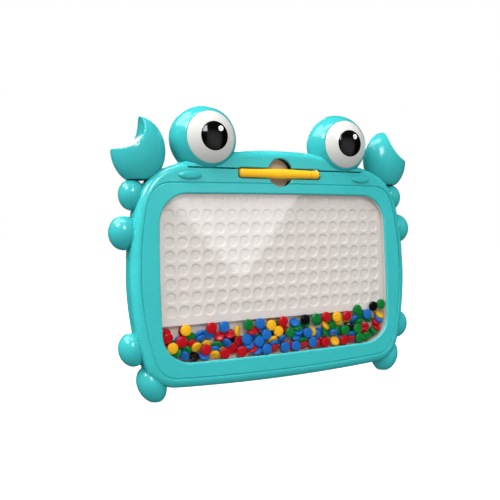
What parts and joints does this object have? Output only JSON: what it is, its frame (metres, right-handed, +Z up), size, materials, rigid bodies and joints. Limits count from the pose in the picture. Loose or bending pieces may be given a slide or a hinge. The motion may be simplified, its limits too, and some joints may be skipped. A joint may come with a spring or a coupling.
{
  "type": "magnetic drawing board",
  "caption": "Free-standing crab-shaped toy case with a clear window, a white dimpled board, coloured magnetic discs behind the window and a pull-out magnetic pen.",
  "frame": {"origin": "centre of the bounding box in X and Y, on the floor that the feet stand on", "axes": "+Z up, the window looks along -Y, +X is to the right of someone who faces the window"},
  "size_m": [0.3022, 0.0458, 0.2478],
  "materials": {
    "teal_plastic": "gloss turquoise moulding",
    "white_plastic": "satin white moulding",
    "eye_white": "gloss white",
    "pupil_black": "gloss black",
    "clear_plastic": "clear polished sheet",
    "pen_yellow": "gloss yellow moulding",
    "magnet_steel": "plated magnet",
    "screw_steel": "zinc plated",
    "disc_mixed": "mixed gloss colours",
    "disc_red": "gloss red",
    "disc_blue": "gloss blue",
    "disc_green": "gloss green",
    "disc_yellow": "gloss yellow",
    "disc_black": "gloss black"
  },
  "bodies": {
    "case": {"arm_left": "teal_plastic", "arm_right": "teal_plastic", "bead_tray": "white_plastic", "claw_left": "teal_plastic", "claw_right": "teal_plastic", "clear_window": "clear_plastic", "crown_cover": "teal_plastic", "disc_heap": "disc_mixed", "dot_board": "white_plastic", "eye_socket_left": "teal_plastic", "eye_socket_right": "teal_plastic", "eyeball_left": "eye_white", "eyeball_right": "eye_white", "foot_left": "teal_plastic", "foot_right": "teal_plastic", "front_bezel": "teal_plastic", "glint_left": "eye_white", "glint_right": "eye_white", "leg_lower_left": "teal_plastic", "leg_lower_right": "teal_plastic", "leg_upper_left": "teal_plastic", "leg_upper_right": "teal_plastic", "pen_cradle": "white_plastic", "pupil_left": "pupil_black", "pupil_right": "pupil_black", "rear_screw_1": "screw_steel", "rear_screw_2": "screw_steel", "rear_screw_3": "screw_steel", "rear_screw_4": "screw_steel", "rear_screw_5": "screw_steel", "rear_screw_6": "screw_steel", "rear_screw_7": "screw_steel", "rear_screw_8": "screw_steel", "rear_shell": "teal_plastic"},
    "pen": {"pen_barrel": "pen_yellow", "pen_cap": "pen_yellow", "pen_magnet": "magnet_steel"},
    "disc_01": {"disc_01_yellow": "disc_yellow"},
    "disc_02": {"disc_02_red": "disc_red"},
    "disc_03": {"disc_03_blue": "disc_blue"},
    "disc_04": {"disc_04_green": "disc_green"},
    "disc_05": {"disc_05_blue": "disc_blue"},
    "disc_06": {"disc_06_red": "disc_red"},
    "disc_07": {"disc_07_black": "disc_black"},
    "disc_08": {"disc_08_green": "disc_green"},
    "disc_09": {"disc_09_yellow": "disc_yellow"},
    "disc_10": {"disc_10_red": "disc_red"},
    "disc_11": {"disc_11_blue": "disc_blue"}
  },
  "joints": [
    {"name": "pen_pull", "type": "slide", "parent": "case", "child": "pen", "axis": [0, -1, 0], "range_m": [0, 0.06]},
    {"name": "disc_01_rise", "type": "slide", "parent": "case", "child": "disc_01", "axis": [0, 0, 1], "range_m": [0, 0.0961]},
    {"name": "disc_02_rise", "type": "slide", "parent": "case", "child": "disc_02", "axis": [0, 0, 1], "range_m": [0, 0.0731]},
    {"name": "disc_03_rise", "type": "slide", "parent": "case", "child": "disc_03", "axis": [0, 0, 1], "range_m": [0, 0.0616]},
    {"name": "disc_04_rise", "type": "slide", "parent": "case", "child": "disc_04", "axis": [0, 0, 1], "range_m": [0, 0.0501]},
    {"name": "disc_05_rise", "type": "slide", "parent": "case", "child": "disc_05", "axis": [0, 0, 1], "range_m": [0, 0.0386]},
    {"name": "disc_06_rise", "type": "slide", "parent": "case", "child": "disc_06", "axis": [0, 0, 1], "range_m": [0, 0.0386]},
    {"name": "disc_07_rise", "type": "slide", "parent": "case", "child": "disc_07", "axis": [0, 0, 1], "range_m": [0, 0.0386]},
    {"name": "disc_08_rise", "type": "slide", "parent": "case", "child": "disc_08", "axis": [0, 0, 1], "range_m": [0, 0.0501]},
    {"name": "disc_09_rise", "type": "slide", "parent": "case", "child": "disc_09", "axis": [0, 0, 1], "range_m": [0, 0.0616]},
    {"name": "disc_10_rise", "type": "slide", "parent": "case", "child": "disc_10", "axis": [0, 0, 1], "range_m": [0, 0.0731]},
    {"name": "disc_11_rise", "type": "slide", "parent": "case", "child": "disc_11", "axis": [0, 0, 1], "range_m": [0, 0.0961]}
  ]
}
